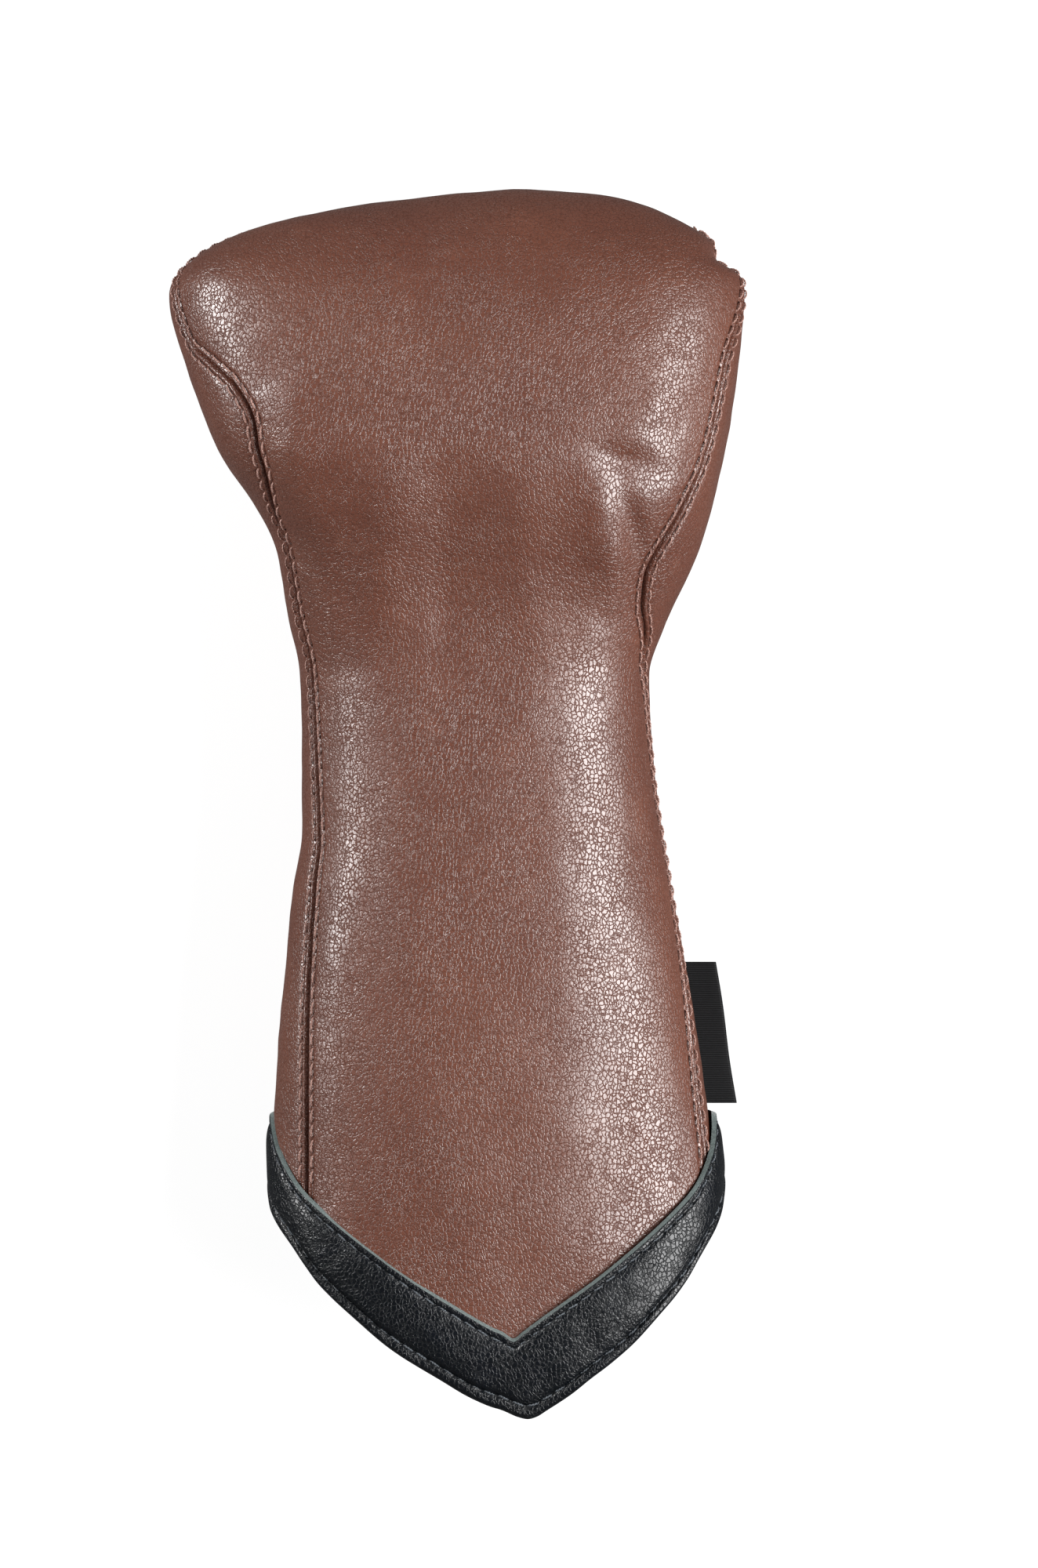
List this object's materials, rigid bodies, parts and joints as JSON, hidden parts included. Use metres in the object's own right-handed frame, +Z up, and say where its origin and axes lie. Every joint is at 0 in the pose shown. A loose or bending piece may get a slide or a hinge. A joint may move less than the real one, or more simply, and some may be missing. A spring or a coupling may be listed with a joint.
{
  "type": "golf driver head cover",
  "caption": "Soft leather golf driver head cover with a bulbous crown, elasticated waist, pointed black-bound hem and a side ribbon tab.",
  "frame": {"origin": "centre of the bounding box's bottom face, with the cover lying on its back", "axes": "+Y from the mouth to the crown, +Z up out of the front panel, +X to the side with the ribbon tab"},
  "size_m": [0.1586, 0.3356, 0.0839],
  "materials": {
    "brown_leather": "pebbled grain, soft satin sheen",
    "black_leather": "pebbled grain with raw grey-green cut edge",
    "tan_thread": "twisted waxed thread",
    "black_thread": "twisted waxed thread",
    "black_ribbon": "fine ribbed ribbon",
    "lining_fleece": "short soft fleece",
    "foam": "thin open foam, hidden",
    "elastic_web": "woven elastic, hidden",
    "seam_tape": "woven tape, hidden"
  },
  "bodies": {
    "cover": {"front_panel": "brown_leather", "back_panel": "brown_leather", "left_gusset": "brown_leather", "right_gusset": "brown_leather", "padding_front": "foam", "padding_back": "foam", "padding_left": "foam", "padding_right": "foam", "lining_front": "lining_fleece", "lining_back": "lining_fleece", "lining_left": "lining_fleece", "lining_right": "lining_fleece", "left_seam_tape": "seam_tape", "right_seam_tape": "seam_tape", "waist_elastic": "elastic_web", "left_panel_row": "tan_thread", "left_gusset_row": "tan_thread", "right_panel_row": "tan_thread", "right_gusset_row": "tan_thread", "crown_row_upper": "tan_thread", "crown_row_lower": "tan_thread", "hem_trim_front": "black_leather", "hem_trim_back": "black_leather", "trim_row_upper": "black_thread", "trim_row_lower": "black_thread"},
    "tab": {"label_tab": "black_ribbon"}
  },
  "joints": [
    {"name": "tab_fold", "type": "hinge", "parent": "cover", "child": "tab", "pos_m": [0.05918, -0.06413, 0.01348], "axis": [-0.1418, 0.9899, 0.007], "range_deg": [-10, 35], "stiffness_Nm_per_rad": 0.004}
  ]
}
